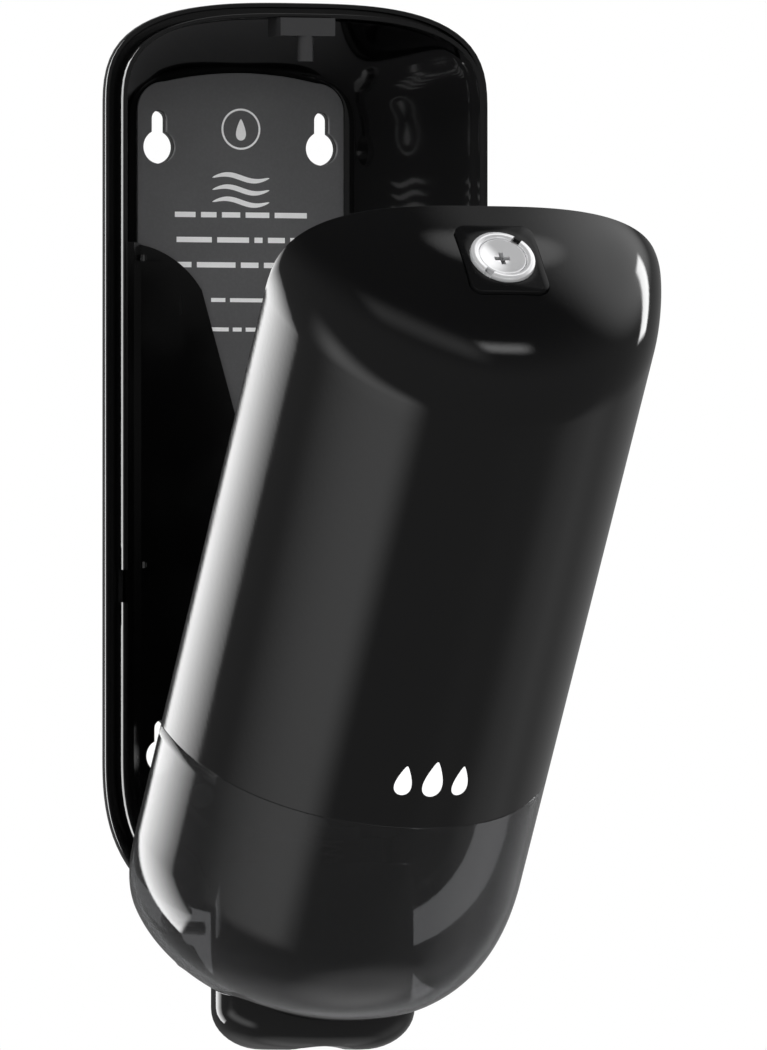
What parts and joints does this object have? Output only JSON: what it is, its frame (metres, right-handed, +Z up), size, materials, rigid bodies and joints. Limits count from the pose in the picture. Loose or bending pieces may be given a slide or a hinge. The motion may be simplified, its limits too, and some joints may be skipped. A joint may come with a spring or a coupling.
{
  "type": "wall mounted soap dispenser",
  "caption": "Wall-mounted manual soap dispenser with a lockable tilting front cover, smoked level window and push bar.",
  "frame": {"origin": "centre of the four keyholes on the wall plane", "axes": "+X to the user's right, +Y into the wall, +Z up"},
  "size_m": [0.1121, 0.2371, 0.29],
  "materials": {
    "shell_black": "high-gloss injection-moulded ABS, black",
    "plate_grey": "fine-textured grey plastic with white print",
    "cradle_black": "glossy black ABS",
    "keeper_black": "glossy black acetal",
    "pin_steel": "ground steel pin",
    "bracket_grey": "textured charcoal plastic",
    "screw_steel": "zinc-plated steel",
    "bar_black": "high-gloss ABS, black",
    "fork_acetal": "natural grey acetal",
    "lifter_acetal": "light grey acetal",
    "spring_steel": "music-wire spring",
    "cover_black": "high-gloss ABS, black",
    "window_smoke": "smoked translucent plastic, polished",
    "bezel_black": "satin-gloss black ABS",
    "housing_black": "black nylon",
    "lock_chrome": "polished chrome plate",
    "cam_zinc": "zinc die casting"
  },
  "bodies": {
    "wall_unit": {"back_shell": "shell_black", "info_plate": "plate_grey", "refill_cradle": "cradle_black", "latch_keeper": "keeper_black", "hinge_pins": "pin_steel", "pump_bracket": "bracket_grey", "bracket_screws": "screw_steel", "push_bar_pins": "pin_steel", "return_springs": "spring_steel"},
    "bar": {"push_bar": "bar_black", "lift_fork": "fork_acetal"},
    "lifter": {"pump_lifter": "lifter_acetal"},
    "cover": {"front_cover": "cover_black", "level_window": "window_smoke", "lock_bezel": "bezel_black", "lock_housing": "housing_black", "lock_ring": "lock_chrome", "lock_nut": "screw_steel"},
    "lock": {"lock_barrel": "lock_chrome", "lock_cam": "cam_zinc", "cam_screw": "screw_steel"}
  },
  "joints": [
    {"name": "cover_hinge", "type": "hinge", "parent": "wall_unit", "child": "cover", "pos_m": [0, -0.035, -0.1335], "axis": [1, 0, 0], "range_deg": [-36.6, 0]},
    {"name": "push_bar_hinge", "type": "hinge", "parent": "wall_unit", "child": "bar", "pos_m": [0, -0.068, -0.1195], "axis": [1, 0, 0], "range_deg": [0, 14], "stiffness_Nm_per_rad": 0.6, "springref_deg": -11.46},
    {"name": "lifter_slide", "type": "slide", "parent": "wall_unit", "child": "lifter", "axis": [0, 0, 1], "range_m": [0, 0.0055], "deforming": ["return_springs"]},
    {"name": "lock_turn", "type": "hinge", "parent": "cover", "child": "lock", "pos_m": [0, -0.21882, 0.0476], "axis": [0, -0.7333, 0.6799], "range_deg": [0, 90]}
  ],
  "couplings": [
    {"joint": "lifter_slide", "follows": "push_bar_hinge", "m_per_rad": 0.0218}
  ]
}
